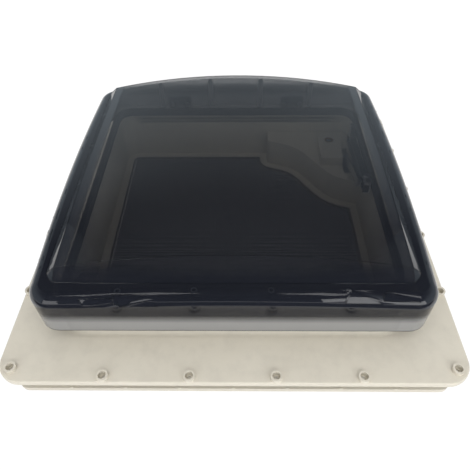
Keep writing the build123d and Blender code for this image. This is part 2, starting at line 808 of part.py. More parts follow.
def along_track(s0, s1, x0, x1, u0, u1):
    """A box that lies along the track: s from the hinge axis, u square to it."""
    box = Pos((s0 + s1) / 2, (u0 + u1) / 2, -(x0 + x1) / 2) * Box(s1 - s0, u1 - u0, x1 - x0)
    return track_plane() * box


def track_foot_places():
    """Where along the track its two feet stand."""
    s0, s1 = track_span()
    return s0 + foot_length / 2, s1 - foot_length / 2


def track_screw_places():
    x0, x1 = roller_span()
    return [((x0 + x1) / 2, hinge_y - s * math.cos(track_angle)) for s in track_foot_places()]


def make_track():
    """Channel for the roller, standing on two feet under the pane."""
    x0, x1 = roller_span()
    s0, s1 = track_span()
    low = x0 + track_lip_gap
    web = x1 + track_web_gap
    half = roller_r + track_gap
    body = along_track(s0, s1, low, web + track_sheet, -half - track_sheet, half + track_sheet)
    body -= along_track(s0 - cut_over, s1 + cut_over, low - cut_over, web, -half, half)
    for s, (x, y) in zip(track_foot_places(), track_screw_places()):
        z = hinge_z + s * math.sin(track_angle) + half
        foot = block(low, web + track_sheet, y - foot_length / 2, y + foot_length / 2,
                     z - foot_length / 4, pane_z)
        body += foot - along_track(s0 - cut_over, s1 + cut_over, low - cut_over, web + 2 * track_sheet,
                                   -2 * half, half)
    for x, y in track_screw_places():
        body -= rod(x, y, pane_z - nut_height - screw_head, pane_z + cut_over, screw_r)
    return body


def make_track_stops():
    """Blocks that close both ends of the channel."""
    x0, x1 = roller_span()
    s0, s1 = track_span()
    low = x0 + track_lip_gap
    half = roller_r + track_gap
    starts = (s0, s1 - track_stop)
    return group([along_track(s, s + track_stop, low, x1 + track_web_gap, -half, half) for s in starts])


def make_track_screws():
    """Screws that hold the track's feet up to the pane."""
    parts = []
    for x, y in track_screw_places():
        screw = rod(x, y, pane_z - nut_height, pane_top_z, screw_r)
        parts.append(screw + rod(x, y, pane_top_z, pane_top_z + screw_head, screw_head_r))
    return group(parts)


def crank_z():
    """Height of the crank's fold pin."""
    return -base_floor - crank_hub_gap - crank_pin_drop


def make_crank_hub():
    """Hub on the worm shaft, slotted for the folding crank."""
    top = -base_floor - crank_hub_gap
    low = top - crank_hub_depth
    hub = rod(worm_x, worm_y, low, top, crank_hub_r)
    hub -= rod(worm_x, worm_y, low - cut_over, top + cut_over, worm_shaft_r)
    half = crank_tongue / 2 + crank_slot_gap
    hub -= block(worm_x - crank_hub_r - cut_over, worm_x - worm_shaft_r, worm_y - half, worm_y + half,
                 low - cut_over, top - crank_slot_top)
    pin_x = worm_x - crank_pin_out
    return hub - rod_y(pin_x, worm_y - crank_hub_r, worm_y + crank_hub_r, crank_z(), crank_pin_r)


def make_crank_pin():
    """Fold pin across the hub."""
    half = math.sqrt(crank_hub_r ** 2 - (crank_pin_out + crank_pin_r) ** 2)
    return rod_y(worm_x - crank_pin_out, worm_y - half, worm_y + half, crank_z(), crank_pin_r)


def make_crank_arm():
    """Folding crank: narrow tongue in the hub, wider blade outside it."""
    z = crank_z()
    pin_x = worm_x - crank_pin_out
    half = crank_sheet / 2
    body = rod_y(pin_x, worm_y - crank_tongue / 2, worm_y + crank_tongue / 2, z, crank_tongue_r)
    body += block(worm_x - crank_wide_from, pin_x, worm_y - crank_tongue / 2, worm_y + crank_tongue / 2,
                  z - half, z + half)
    knob_x = worm_x - crank_reach
    blade = block(knob_x, worm_x - crank_wide_from, worm_y - crank_width / 2, worm_y + crank_width / 2,
                  z - half, z + half)
    body += blade + rod(knob_x, worm_y, z - half, z + half, knob_r)
    body -= rod_y(pin_x, worm_y - crank_hub_r, worm_y + crank_hub_r, z, crank_pin_r + crank_pin_running)
    return body - rod(knob_x, worm_y, z - crank_sheet, z + crank_sheet, knob_pin_r)


def make_knob_pin():
    """Rivet that carries the turning knob."""
    x = worm_x - crank_reach
    z1 = crank_z() + crank_sheet / 2
    z0 = crank_z() - crank_sheet / 2 - knob_gap - knob_height
    return rod(x, worm_y, z0, z1, knob_pin_r) + rod(x, worm_y, z0 - knob_pin_head, z0, knob_pin_head_r)


def make_knob():
    """Finger knob that turns on its rivet."""
    x = worm_x - crank_reach
    z1 = crank_z() - crank_sheet / 2 - knob_gap
    knob = rod(x, worm_y, z1 - knob_height + knob_running, z1, knob_r)
    knob = chamfer(knob.edges(), knob_gap)
    return knob - rod(x, worm_y, z1 - knob_height - cut_over, z1 + cut_over, knob_pin_r + knob_running)


def screen_area(edge):
    """Plan of the fly screen: the opening less the gearbox corner."""
    half = well_half - edge
    r = well_corner_r - edge
    low = screen_foot - spigot_drop
    area = slab(half, r, low, low + screen_depth)
    return area - case_prism(-edge, low - cut_over, low + screen_depth + cut_over)


def make_screen_frame():
    """Frame of the fly screen, cut out round the gearbox corner."""
    low = screen_foot - spigot_drop
    ring = screen_area(screen_gap) - screen_area(screen_gap + screen_bar)
    top = low + screen_depth
    rebate = screen_area(screen_gap + screen_bar - screen_ledge) & slab(
        well_half, well_corner_r, top - screen_rebate, top + cut_over)
    return ring - rebate


def make_net():
    """Net of the fly screen, one holed sheet in the frame's rebate."""
    top = screen_foot - spigot_drop + screen_depth
    low = top - screen_rebate
    bottom = screen_foot - spigot_drop
    outline = screen_area(screen_gap + screen_bar - screen_ledge).faces().sort_by(Axis.Z)[0].outer_wire()
    inside = screen_area(screen_gap + screen_bar + net_bar).faces().sort_by(Axis.Z)[0]
    hole = net_cell - net_bar
    holes = []
    for i in range(net_cells_per_side):
        for j in range(net_cells_per_side):
            x = net_cell * (i - (net_cells_per_side - 1) / 2)
            y = net_cell * (j - (net_cells_per_side - 1) / 2)
            corners = [(x + a * hole / 2, y + b * hole / 2) for a in (-1, 1) for b in (-1, 1)]
            if all(inside.is_inside((u, v, bottom)) for u, v in corners):
                holes.append((Pos(x, y, bottom) * Rectangle(hole, hole)).face().outer_wire())
    sheet = extrude(Face(outline, holes), net_sheet, dir=(0, 0, 1))
    return Pos(0, 0, low - bottom) * sheet


lid_shell = make_lid()
base_seat_z = -base_floor + case_plate + base_boss_rise
cap_top_z = case_top + cap_rise
cap_seat_z = cap_top_z - cap_wall - cap_boss_drop
nodes = {
    "roof_frame": make_roof_frame(),
    "roof_gasket": make_gasket(),
    "clamp_frame": make_clamp_frame(),
    "collar_seal": make_seal(),
    "gearbox_case": make_gearbox_case(),
    "gearbox_base": make_case_base(),
    "gearbox_cap": make_gearbox_cap(),
    "arm_shaft_bushes": make_shaft_bushes(),
    "hinge_bracket_left": make_bracket(-hinge_x),
    "hinge_bracket_right": make_bracket(hinge_x),
    "hinge_pin_left": make_hinge_pin(-hinge_x),
    "hinge_pin_right": make_hinge_pin(hinge_x),
    "bracket_screws": make_bracket_screws(),
    "fly_screen_frame": make_screen_frame(),
    "fly_screen_net": make_net(),
    "smoked_lid": lid_shell,
    "inner_pane": make_inner_pane(),
    "pane_spacers": make_spacers(lid_shell),
    "pane_screws": make_pane_screws(),
    "hinge_leaf_left": make_leaf(-hinge_x),
    "hinge_leaf_right": make_leaf(hinge_x),
    "leaf_screws": make_leaf_screws(),
    "lift_track": make_track(),
    "track_stops": make_track_stops(),
    "track_screws": make_track_screws(),
    "lift_arm": make_lift_arm(),
    "arm_shaft": make_arm_shaft(),
    "sector_gear": make_sector(),
    "roller_pin": make_roller_pin(),
    "arm_roller": make_roller(),
    "worm_bush_lower": make_worm_bush(-base_floor, base_seat_z, base_seat_z),
    "worm_bush_upper": make_worm_bush(cap_seat_z, cap_top_z, cap_seat_z - bush_flange),
    "worm_shaft": make_worm(),
    "crank_hub": make_crank_hub(),
    "crank_pin": make_crank_pin(),
    "crank_arm": make_crank_arm(),
    "knob_pin": make_knob_pin(),
    "crank_knob": make_knob(),
}
for name, shape in nodes.items():
    export_step(shape, f"parts/{name}.step")
print("arm length", round(arm_length, 2), "roller reach", round(roller_near, 2), "to", round(roller_far, 2))
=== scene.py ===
import json
import math

import bmesh
import bpy
from mathutils import Matrix, Vector


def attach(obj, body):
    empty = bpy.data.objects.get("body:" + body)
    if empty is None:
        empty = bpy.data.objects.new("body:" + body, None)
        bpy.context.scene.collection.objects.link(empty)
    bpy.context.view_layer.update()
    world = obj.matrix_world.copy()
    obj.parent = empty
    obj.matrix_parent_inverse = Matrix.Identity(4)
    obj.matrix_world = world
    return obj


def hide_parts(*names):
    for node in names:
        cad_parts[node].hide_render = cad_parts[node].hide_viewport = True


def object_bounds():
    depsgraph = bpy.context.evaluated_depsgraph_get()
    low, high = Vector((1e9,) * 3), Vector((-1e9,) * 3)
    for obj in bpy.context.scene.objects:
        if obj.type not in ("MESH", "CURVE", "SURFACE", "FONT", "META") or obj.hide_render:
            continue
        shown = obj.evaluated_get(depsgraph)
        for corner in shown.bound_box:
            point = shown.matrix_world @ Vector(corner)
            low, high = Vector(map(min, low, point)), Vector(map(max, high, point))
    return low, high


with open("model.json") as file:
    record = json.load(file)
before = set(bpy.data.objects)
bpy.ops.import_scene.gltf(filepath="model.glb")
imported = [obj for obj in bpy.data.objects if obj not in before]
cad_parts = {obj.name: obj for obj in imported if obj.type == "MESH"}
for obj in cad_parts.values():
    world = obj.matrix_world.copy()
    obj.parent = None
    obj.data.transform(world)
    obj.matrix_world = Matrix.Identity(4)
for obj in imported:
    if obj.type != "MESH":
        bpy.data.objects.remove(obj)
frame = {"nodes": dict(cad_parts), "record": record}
nodes = frame["nodes"]
cad_low, cad_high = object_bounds()
print("CAD box in metres:", [round(v, 4) for v in cad_low], [round(v, 4) for v in cad_high])

# %% [markdown]
# The vent is a cream moulded frame with a smoked acrylic lid. Everything below the lid is seen
# through it, so the lid's tint, the seal on the collar and the posts in the front bead set the look.
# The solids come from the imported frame. This script gives them their surfaces, weaves the net that
# the frame holds as a coarse sheet, draws the lid's fine bend lines, and sets up camera and light.

# %% [markdown]
# Small helpers first. A material is a tree of nodes, and most of them need one or two values set, so
# one routine adds a node and sets its properties or its inputs by name.


# %% Node helpers
def node(tree, kind, **values):
    """Adds a node and sets its properties, or its inputs where the name is an input's."""
    made = tree.nodes.new(kind)
    for key, value in values.items():
        if hasattr(made, key):
            setattr(made, key, value)
        else:
            made.inputs[key.replace("_", " ")].default_value = value
    return made


def new_group(name, inputs, outputs):
    """A node group with named float inputs and outputs."""
    tree = bpy.data.node_groups.new(name, "ShaderNodeTree")
    for label, value in inputs.items():
        socket = tree.interface.new_socket(label, in_out="INPUT", socket_type="NodeSocketFloat")
        socket.default_value = value
    for label in outputs:
        tree.interface.new_socket(label, in_out="OUTPUT", socket_type="NodeSocketFloat")
    return tree, tree.nodes.new("NodeGroupInput"), tree.nodes.new("NodeGroupOutput")


def new_material(name):
    """An empty material, its tree and its shader."""
    material = bpy.data.materials.new(name)
    material.use_nodes = True
    return material, material.node_tree, material.node_tree.nodes["Principled BSDF"]


print("helpers:", ", ".join(helper.__name__ for helper in (node, new_group, new_material)))

# %% [markdown]
# Shared effects. Moulded plastic is never one flat colour: it has a slow cloudiness from the melt
# flow and a fine spark-eroded grain. Dust settles on what faces up, in patches. All of it is
# object-space noise, so it stays on the piece when the piece moves. Each group is built once and put
# in every material with its own values.

# %% Shared effects
dust_span = (0.45, 0.75)


def make_cloud_group():
    """Slow cloudiness and fine grain, both 0 to 1."""
    tree, given, out = new_group("cloud_and_grain", {"Cloud Scale": 18.0, "Grain Scale": 2200.0},
                                 ("Cloud", "Grain"))
    place = tree.nodes.new("ShaderNodeTexCoord")
    cloud = node(tree, "ShaderNodeTexNoise", Detail=4.0, Roughness=0.6)
    grain = node(tree, "ShaderNodeTexNoise", Detail=2.0, Roughness=0.5)
    for noise, label, output in ((cloud, "Cloud Scale", "Cloud"), (grain, "Grain Scale", "Grain")):
        tree.links.new(place.outputs["Object"], noise.inputs["Vector"])
        tree.links.new(given.outputs[label], noise.inputs["Scale"])
        tree.links.new(noise.outputs["Fac"], out.inputs[output])
    return tree


def make_dust_group():
    """Settled dust: a soft mask of upward faces, broken up by noise."""
    tree, given, out = new_group("settled_dust", {"Scale": 60.0, "Amount": 0.3}, ("Mask",))
    place = tree.nodes.new("ShaderNodeTexCoord")
    split = tree.nodes.new("ShaderNodeSeparateXYZ")
    noise = node(tree, "ShaderNodeTexNoise", Detail=6.0, Roughness=0.65)
    patches = node(tree, "ShaderNodeMapRange", From_Min=dust_span[0], From_Max=dust_span[1])
    upward = node(tree, "ShaderNodeMath", operation="MULTIPLY")
    scaled = node(tree, "ShaderNodeMath", operation="MULTIPLY", use_clamp=True)
    tree.links.new(place.outputs["Object"], noise.inputs["Vector"])
    tree.links.new(given.outputs["Scale"], noise.inputs["Scale"])
    tree.links.new(noise.outputs["Fac"], patches.inputs["Value"])
    tree.links.new(place.outputs["Normal"], split.inputs["Vector"])
    tree.links.new(split.outputs["Z"], upward.inputs[0])
    tree.links.new(patches.outputs["Result"], upward.inputs[1])
    tree.links.new(upward.outputs["Value"], scaled.inputs[0])
    tree.links.new(given.outputs["Amount"], scaled.inputs[1])
    tree.links.new(scaled.outputs["Value"], out.inputs["Mask"])
    return tree


cloud_group = make_cloud_group()
dust_group = make_dust_group()
print("node groups:", cloud_group.name, dust_group.name)

# %% [markdown]
# One routine lays out every opaque material: two near shades mixed by the cloudiness, roughness that
# follows the grain, a light bump from the grain, and dust on what faces up. What differs between
# cream plastic, rubber, zinc and nylon is only the values, which keeps the family of finishes even.

# %% Opaque materials
grain_depth = 0.0002
grain_span = (0.3, 0.7)
dust_shade = (0.42, 0.39, 0.34, 1.0)


def finish_material(name, shades, rough, bump, cloud=18.0, grain=2200.0, dust=0.0, metallic=0.0):
    """Principled material with cloudiness, grain and dust."""
    material, tree, shader = new_material(name)
    shader.inputs["Metallic"].default_value = metallic
    surface = tree.nodes.new("ShaderNodeGroup")
    surface.node_tree = cloud_group
    surface.inputs["Cloud Scale"].default_value = cloud
    surface.inputs["Grain Scale"].default_value = grain
    settled = tree.nodes.new("ShaderNodeGroup")
    settled.node_tree = dust_group
    settled.inputs["Amount"].default_value = dust
    colour = node(tree, "ShaderNodeMix", data_type="RGBA")
    colour.inputs["A"].default_value = (*shades[0], 1.0)
    colour.inputs["B"].default_value = (*shades[1], 1.0)
    dusty = node(tree, "ShaderNodeMix", data_type="RGBA")
    dusty.inputs["B"].default_value = dust_shade
    spread = node(tree, "ShaderNodeMapRange", From_Min=grain_span[0], From_Max=grain_span[1],
                  To_Min=rough[0], To_Max=rough[1])
    relief = node(tree, "ShaderNodeBump", Strength=bump, Distance=grain_depth)
    tree.links.new(surface.outputs["Cloud"], colour.inputs["Factor"])
    tree.links.new(colour.outputs["Result"], dusty.inputs["A"])
    tree.links.new(settled.outputs["Mask"], dusty.inputs["Factor"])
    tree.links.new(dusty.outputs["Result"], shader.inputs["Base Color"])
    tree.links.new(surface.outputs["Grain"], spread.inputs["Value"])
    tree.links.new(spread.outputs["Result"], shader.inputs["Roughness"])
    tree.links.new(surface.outputs["Grain"], relief.inputs["Height"])
    tree.links.new(relief.outputs["Normal"], shader.inputs["Normal"])
    return material


# Each row: the two shades, the roughness from and to, the bump, and what else differs
finishes = {
    "cream_plastic": (((0.61, 0.57, 0.48), (0.66, 0.62, 0.53)), (0.34, 0.46), 0.12, {"dust": 0.25}),
    "black_rubber": (((0.018, 0.018, 0.02), (0.035, 0.035, 0.038)), (0.55, 0.8), 0.5,
                     {"grain": 900.0, "dust": 0.3}),
    "grey_foam": (((0.13, 0.13, 0.14), (0.2, 0.2, 0.21)), (0.85, 0.95), 1.0, {"grain": 1400.0}),
    "black_nylon": (((0.02, 0.02, 0.023), (0.04, 0.04, 0.043)), (0.38, 0.55), 0.25, {"dust": 0.15}),
    "zinc_steel": (((0.5, 0.51, 0.52), (0.62, 0.63, 0.66)), (0.24, 0.4), 0.2,
                   {"cloud": 240.0, "metallic": 1.0}),
    "satin_aluminium": (((0.6, 0.61, 0.63), (0.72, 0.73, 0.75)), (0.28, 0.42), 0.15,
                        {"cloud": 90.0, "metallic": 1.0}),
    "bronze_bush": (((0.38, 0.24, 0.1), (0.5, 0.33, 0.16)), (0.35, 0.55), 0.4,
                    {"cloud": 300.0, "metallic": 1.0}),
    "grey_net": (((0.015, 0.015, 0.017), (0.03, 0.03, 0.033)), (0.5, 0.7), 0.3, {"grain": 3000.0}),
    "spacer_nylon": (((0.1, 0.105, 0.115), (0.15, 0.155, 0.165)), (0.3, 0.45), 0.2, {}),
}
materials = {name: finish_material(name, shades, rough, bump, **more)
             for name, (shades, rough, bump, more) in finishes.items()}
print("opaque materials:", len(materials))

# %% [markdown]
# Acrylic sheet is glossy and tinted right through. It is made here as a see-through surface with a
# clear reflection, not as refracting glass, because thin sheet hardly shifts what lies behind it,
# and light has to reach the parts below. How much one face hides changes with height, by a float
# curve on the object's Z: the hem hides much and is pale grey, partly the skirt's own lighter tint
# and partly a painted reflection of a pale floor. The bend above the skirt is deep, and the crown
# is clearer, so that the parts below show. The crown's two sides, where the panel turns down, are
# deep again.

# %% Acrylic materials
acrylic_ior = 1.49
lid_top_z = 0.11
sheet_cloud_scale = 9.0
sheet_cloud_span = (0.35, 0.75)
sheet_relief = 0.01
tint_spread = 1.3
# Heights where the pale hem, partly a painted reflection, goes over into the smoke
hem_tint_and_sheen_z = (0.041, 0.053)
cut_edge_z = (0.0272, 0.0266)
side_band_x = (0.158, 0.168)


def cover_curve(tree, rows):
    """Float curve through straight rows of a share of the lid's height and what a face hides there."""
    cover = tree.nodes.new("ShaderNodeFloatCurve")
    curve = cover.mapping.curves[0]
    curve.points[0].location = rows[0]
    curve.points[-1].location = rows[-1]
    for share, hidden in rows[1:-1]:
        curve.points.new(share, hidden)
    for point in curve.points:
        point.handle_type = "VECTOR"
    cover.mapping.update()
    return cover


def acrylic(name, tint, hem_tint_and_sheen, covers, rough, side_cover=0.0):
    """Tinted sheet, whose cover follows its height and, where side_cover is given, its two sides."""
    material, tree, shader = new_material(name)
    shader.inputs["IOR"].default_value = acrylic_ior
    place = tree.nodes.new("ShaderNodeTexCoord")
    split = tree.nodes.new("ShaderNodeSeparateXYZ")
    height = node(tree, "ShaderNodeMapRange", From_Min=0.0, From_Max=lid_top_z)
    cover = cover_curve(tree, covers)
    from_middle = node(tree, "ShaderNodeMath", operation="ABSOLUTE")
    turned_down = node(tree, "ShaderNodeMapRange", interpolation_type="SMOOTHSTEP",
                       From_Min=side_band_x[0], From_Max=side_band_x[1], To_Min=0.0, To_Max=side_cover)
    deepest = node(tree, "ShaderNodeMath", operation="MAXIMUM")
    tree.links.new(place.outputs["Object"], split.inputs["Vector"])
    tree.links.new(split.outputs["Z"], height.inputs["Value"])
    tree.links.new(height.outputs["Result"], cover.inputs["Value"])
    tree.links.new(split.outputs["X"], from_middle.inputs[0])
    tree.links.new(from_middle.outputs["Value"], turned_down.inputs["Value"])
    tree.links.new(cover.outputs["Value"], deepest.inputs[0])
    tree.links.new(turned_down.outputs["Result"], deepest.inputs[1])
    tree.links.new(deepest.outputs["Value"], shader.inputs["Alpha"])

    surface = tree.nodes.new("ShaderNodeGroup")
    surface.node_tree = cloud_group
    surface.inputs["Cloud Scale"].default_value = sheet_cloud_scale
    smear = node(tree, "ShaderNodeMapRange", From_Min=sheet_cloud_span[0], From_Max=sheet_cloud_span[1],
                 To_Min=rough[0], To_Max=rough[1])
    colour = node(tree, "ShaderNodeMix", data_type="RGBA")
    colour.inputs["A"].default_value = (*tint, 1.0)
    colour.inputs["B"].default_value = (*[tint_spread * c for c in tint], 1.0)
    # Low on the sheet the pale hem colour takes over: partly its own lighter tint, partly a painted
    # reflection of a pale floor
    above_hem = node(tree, "ShaderNodeMapRange", From_Min=hem_tint_and_sheen_z[0], From_Max=hem_tint_and_sheen_z[1])
    cut_edge = node(tree, "ShaderNodeMapRange", From_Min=cut_edge_z[0], From_Max=cut_edge_z[1])
    deep = node(tree, "ShaderNodeMath", operation="MAXIMUM")
    drawn = node(tree, "ShaderNodeMix", data_type="RGBA")
    drawn.inputs["A"].default_value = (*hem_tint_and_sheen, 1.0)
    relief = node(tree, "ShaderNodeBump", Strength=sheet_relief, Distance=grain_depth)
    tree.links.new(split.outputs["Z"], above_hem.inputs["Value"])
    tree.links.new(split.outputs["Z"], cut_edge.inputs["Value"])
    tree.links.new(above_hem.outputs["Result"], deep.inputs[0])
    tree.links.new(cut_edge.outputs["Result"], deep.inputs[1])
    tree.links.new(deep.outputs["Value"], drawn.inputs["Factor"])
    tree.links.new(surface.outputs["Cloud"], colour.inputs["Factor"])
    tree.links.new(colour.outputs["Result"], drawn.inputs["B"])
    tree.links.new(drawn.outputs["Result"], shader.inputs["Base Color"])
    tree.links.new(surface.outputs["Cloud"], smear.inputs["Value"])
    tree.links.new(smear.outputs["Result"], shader.inputs["Roughness"])
    tree.links.new(surface.outputs["Cloud"], relief.inputs["Height"])
    tree.links.new(relief.outputs["Normal"], shader.inputs["Normal"])
    return material


smoke_tint = (0.011, 0.0125, 0.0175)
# Pale grey of the hem: partly the skirt's own lighter tint, partly a painted reflection of a pale floor
smoke_hem_tint_and_sheen = (0.285, 0.287, 0.285)
smoke_side_cover = 0.86
smoke_covers = [(0.0, 0.9), (0.237, 0.9), (0.246, 0.8), (0.51, 0.76), (0.58, 0.78), (0.62, 0.96),
                (0.69, 0.96), (0.72, 0.78), (0.76, 0.78), (0.84, 0.43), (1.0, 0.43)]
pane_tint = (0.03, 0.033, 0.035)
pane_covers = [(0.0, 0.04), (0.5, 0.04), (1.0, 0.05)]
# Colour and cover of the bend lines, a painted dark reflection along the lid's bends
bend_reflection_shade = (0.006, 0.007, 0.01)
bend_reflection_covers = [(0.0, 0.6), (0.5, 0.6), (1.0, 0.6)]
materials["smoked_acrylic"] = acrylic("smoked_acrylic", smoke_tint, smoke_hem_tint_and_sheen, smoke_covers,
                                      (0.02, 0.05), smoke_side_cover)
materials["clear_acrylic"] = acrylic("clear_acrylic", pane_tint, pane_tint, pane_covers, (0.02, 0.05))
materials["painted_bend_reflection"] = acrylic("painted_bend_reflection", bend_reflection_shade, bend_reflection_shade, bend_reflection_covers, (0.1, 0.2))
print("materials:", sorted(materials))

# %% [markdown]
# The record names a slot for each solid, and a slot names its material. The posts between the lid
# and the second pane are the one exception: they share the black nylon's slot, but the photograph
# shows them a shade lighter, as worn grey nylon.

# %% Each CAD node takes its slot's material
for row in frame["record"]["subparts"]:
    shown = nodes[row["node"]]
    shown.data.materials.clear()
    finish = "spacer_nylon" if row["node"] == "pane_spacers" else row["material_slot"]
    shown.data.materials.append(materials[finish])

# %% [markdown]
# Where two surfaces of a formed sheet meet, the eye sees a fine dark line at the tight bend: along
# the front and back crest, down both creases and at the foot of the panel. The line is a painted dark
# reflection, a dark bead that stands in for how the bend turns the light away. The lines are taken
# from the lid's own mesh, as the edges where two faces meet at a marked angle, and made into a
# hair-thin bead that rides on the lid. Drawing them in the material would need a mask that follows
# the bends, and a bevel of the whole lid would change the node's shape.

# %% Bend lines of the lid
weld_distance = 1e-6
bend_radius = 0.00035
bend_angles = (math.radians(14), math.radians(75))
bend_low_z = 0.066


def bend_edges(source):
    """The marked bends on the outside of the lid, as the loose edges of a new mesh."""
    shape = bmesh.new()
    shape.from_mesh(source)
    bmesh.ops.remove_doubles(shape, verts=shape.verts, dist=weld_distance)
    kept = set()
    for edge in shape.edges:
        if len(edge.link_faces) != 2 or min(v.co.z for v in edge.verts) < bend_low_z:
            continue
        outward = sum((f.normal for f in edge.link_faces), Vector()).z > 0
        if outward and bend_angles[0] < edge.calc_face_angle() < bend_angles[1]:
            kept.add(edge)
    bmesh.ops.delete(shape, geom=list(shape.faces), context="FACES_ONLY")
    bmesh.ops.delete(shape, geom=[e for e in shape.edges if e not in kept], context="EDGES")
    return shape


bends = bend_edges(nodes["smoked_lid"].data)
bend_mesh = bpy.data.meshes.new("bend_lines")
bends.to_mesh(bend_mesh)
print("bend edges:", len(bends.edges))
bends.free()
bend_lines = bpy.data.objects.new("bend_lines", bend_mesh)
bpy.context.scene.collection.objects.link(bend_lines)
bpy.ops.object.select_all(action="DESELECT")
bpy.context.view_layer.objects.active = bend_lines
bend_lines.select_set(True)
bpy.ops.object.convert(target="CURVE")
bend_lines.data.bevel_depth = bend_radius
bend_lines.data.bevel_resolution = 1
bend_lines.data.use_fill_caps = True
bpy.ops.object.convert(target="MESH")
bend_lines.select_set(False)
# The bend lines carry a painted dark reflection of the lid's bends
bend_lines.data.materials.append(materials["painted_bend_reflection"])
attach(bend_lines, "lid")
print("bend line faces:", len(bend_lines.data.polygons))

# %% [markdown]
# The fly screen's net is woven from thin dark thread, sixteen to the inch. The CAD node holds it as
# a coarse sheet, whose outer edge is right. That edge is filled with one face, cuts at the thread
# pitch turn the face into the lines of one thread direction, and each line is pulled up into a
# ribbon and thickened. Two such sets, one for each direction, lie on each other as a real weave does.
# A material with holes painted in its alpha would be quicker, but would leave no threads in the mesh.

# %% Net of the fly screen
net_pitch = 0.0016
thread_width = 0.00045
thread_height = 0.0003
flat_tolerance = 1e-5
cut_tolerance = 1e-7


def net_outline_face(source):
    """The sheet's outer edge, filled with one face, as a new mesh."""
    shape = bmesh.new()
    shape.from_mesh(source)
    bmesh.ops.remove_doubles(shape, verts=shape.verts, dist=weld_distance)
    top_z = max(v.co.z for v in shape.verts)
    lower = [f for f in shape.faces if min(v.co.z for v in f.verts) < top_z - flat_tolerance]
    bmesh.ops.delete(shape, geom=lower, context="FACES")
    rims = [e for e in shape.edges if e.is_boundary]
    start = min((v for e in rims for v in e.verts), key=lambda v: v.co.x)
    loop, queue = set(), [start]
    while queue:
        for edge in queue.pop().link_edges:
            if edge.is_boundary and edge not in loop:
                loop.add(edge)
                queue.extend(edge.verts)
    spare = [e for e in shape.edges if e not in loop]
    bmesh.ops.delete(shape, geom=list(shape.faces), context="FACES_ONLY")
    bmesh.ops.delete(shape, geom=[e for e in spare if e.is_valid], context="EDGES")
    bmesh.ops.contextual_create(shape, geom=list(shape.edges))
    return shape


def thread_set(source, axis):
    """Ribbons side by side along one axis, cut to the sheet's edge."""
    shape = net_outline_face(source)
    low_at = min(v.co[axis] for v in shape.verts)
    high_at = max(v.co[axis] for v in shape.verts)
    across = Vector((1, 0, 0)) if axis == 0 else Vector((0, 1, 0))
    count = int((high_at - low_at) / net_pitch)
    for i in range(1, count + 1):
        geom = list(shape.verts) + list(shape.edges) + list(shape.faces)
        bmesh.ops.bisect_plane(shape, geom=geom, dist=cut_tolerance, plane_no=across,
                               plane_co=across * (low_at + i * net_pitch))
    inner = {e for e in shape.edges if not e.is_boundary}
    bmesh.ops.delete(shape, geom=list(shape.faces), context="FACES_ONLY")
    bmesh.ops.delete(shape, geom=[e for e in shape.edges if e not in inner], context="EDGES")
    print("threads along axis", 1 - axis, "cut:", len(shape.edges))
    raised = bmesh.ops.extrude_edge_only(shape, edges=list(shape.edges))
    tops = [v for v in raised["geom"] if isinstance(v, bmesh.types.BMVert)]
    bmesh.ops.translate(shape, vec=(0, 0, thread_height), verts=tops)
    drop = -thread_height if axis == 0 else -2 * thread_height
    bmesh.ops.translate(shape, vec=(0, 0, drop), verts=shape.verts)
    bmesh.ops.recalc_face_normals(shape, faces=shape.faces)
    bmesh.ops.solidify(shape, geom=list(shape.faces), thickness=thread_width)
    return shape


net_mesh = bpy.data.meshes.new("woven_net")
threads = bmesh.new()
for axis in (0, 1):
    ribbons = thread_set(nodes["fly_screen_net"].data, axis)
    held = bpy.data.meshes.new("threads")
    ribbons.to_mesh(held)
    ribbons.free()
    threads.from_mesh(held)
    bpy.data.meshes.remove(held)
threads.to_mesh(net_mesh)
threads.free()
net = bpy.data.objects.new("woven_net", net_mesh)
bpy.context.scene.collection.objects.link(net)
net_mesh.materials.append(materials["grey_net"])
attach(net, "root")
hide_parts("fly_screen_net")
print("net faces:", len(net_mesh.polygons))

# %% [markdown]
# The camera stands where the photograph's stood: in front of the opening edge, looking down 47
# degrees. Its place and lens came from fitting the flange's corners and bosses.

# %% Camera
image_side = 470
focal_px = 460.4
film_width = 36.0
near_limit = 0.01
camera_place = Vector((0.0085, -0.4402, 0.4391))
pitch, roll, yaw = (math.radians(a) for a in (47.32, -0.84, -1.16))
ahead = Vector((math.sin(yaw) * math.cos(pitch), math.cos(yaw) * math.cos(pitch), -math.sin(pitch)))
level = Vector((math.cos(yaw), -math.sin(yaw), 0.0))
above = level.cross(ahead)
right = math.cos(roll) * level + math.sin(roll) * above
up = -math.sin(roll) * level + math.cos(roll) * above
camera_data = bpy.data.cameras.new("camera")
camera_data.sensor_width = film_width
camera_data.lens = film_width * focal_px / image_side
camera_data.clip_start = near_limit
camera = bpy.data.objects.new("camera", camera_data)
bpy.context.scene.collection.objects.link(camera)
turned = Matrix((right, up, -ahead)).transposed().to_4x4()
camera.matrix_world = Matrix.Translation(camera_place) @ turned
bpy.context.scene.camera = camera
print("lens in mm:", round(camera_data.lens, 2))

# %% [markdown]
# Two large soft boxes, one above the camera and one overhead, light the vent, and the lid doesn't
# reflect them. Two low strips and two high boxes, left and right, give the front bead and the crown
# their highlights at both ends, with a dark middle.


# %% Lamps
def soft_box(name, place, aim, size, power):
    """Rectangular area light that points at aim."""
    data = bpy.data.lights.new(name, "AREA")
    data.shape = "RECTANGLE"
    data.size, data.size_y = size
    data.energy = power
    lamp = bpy.data.objects.new(name, data)
    bpy.context.scene.collection.objects.link(lamp)
    lamp.location = place
    lamp.rotation_euler = (Vector(aim) - Vector(place)).to_track_quat("-Z", "Y").to_euler()
    return lamp


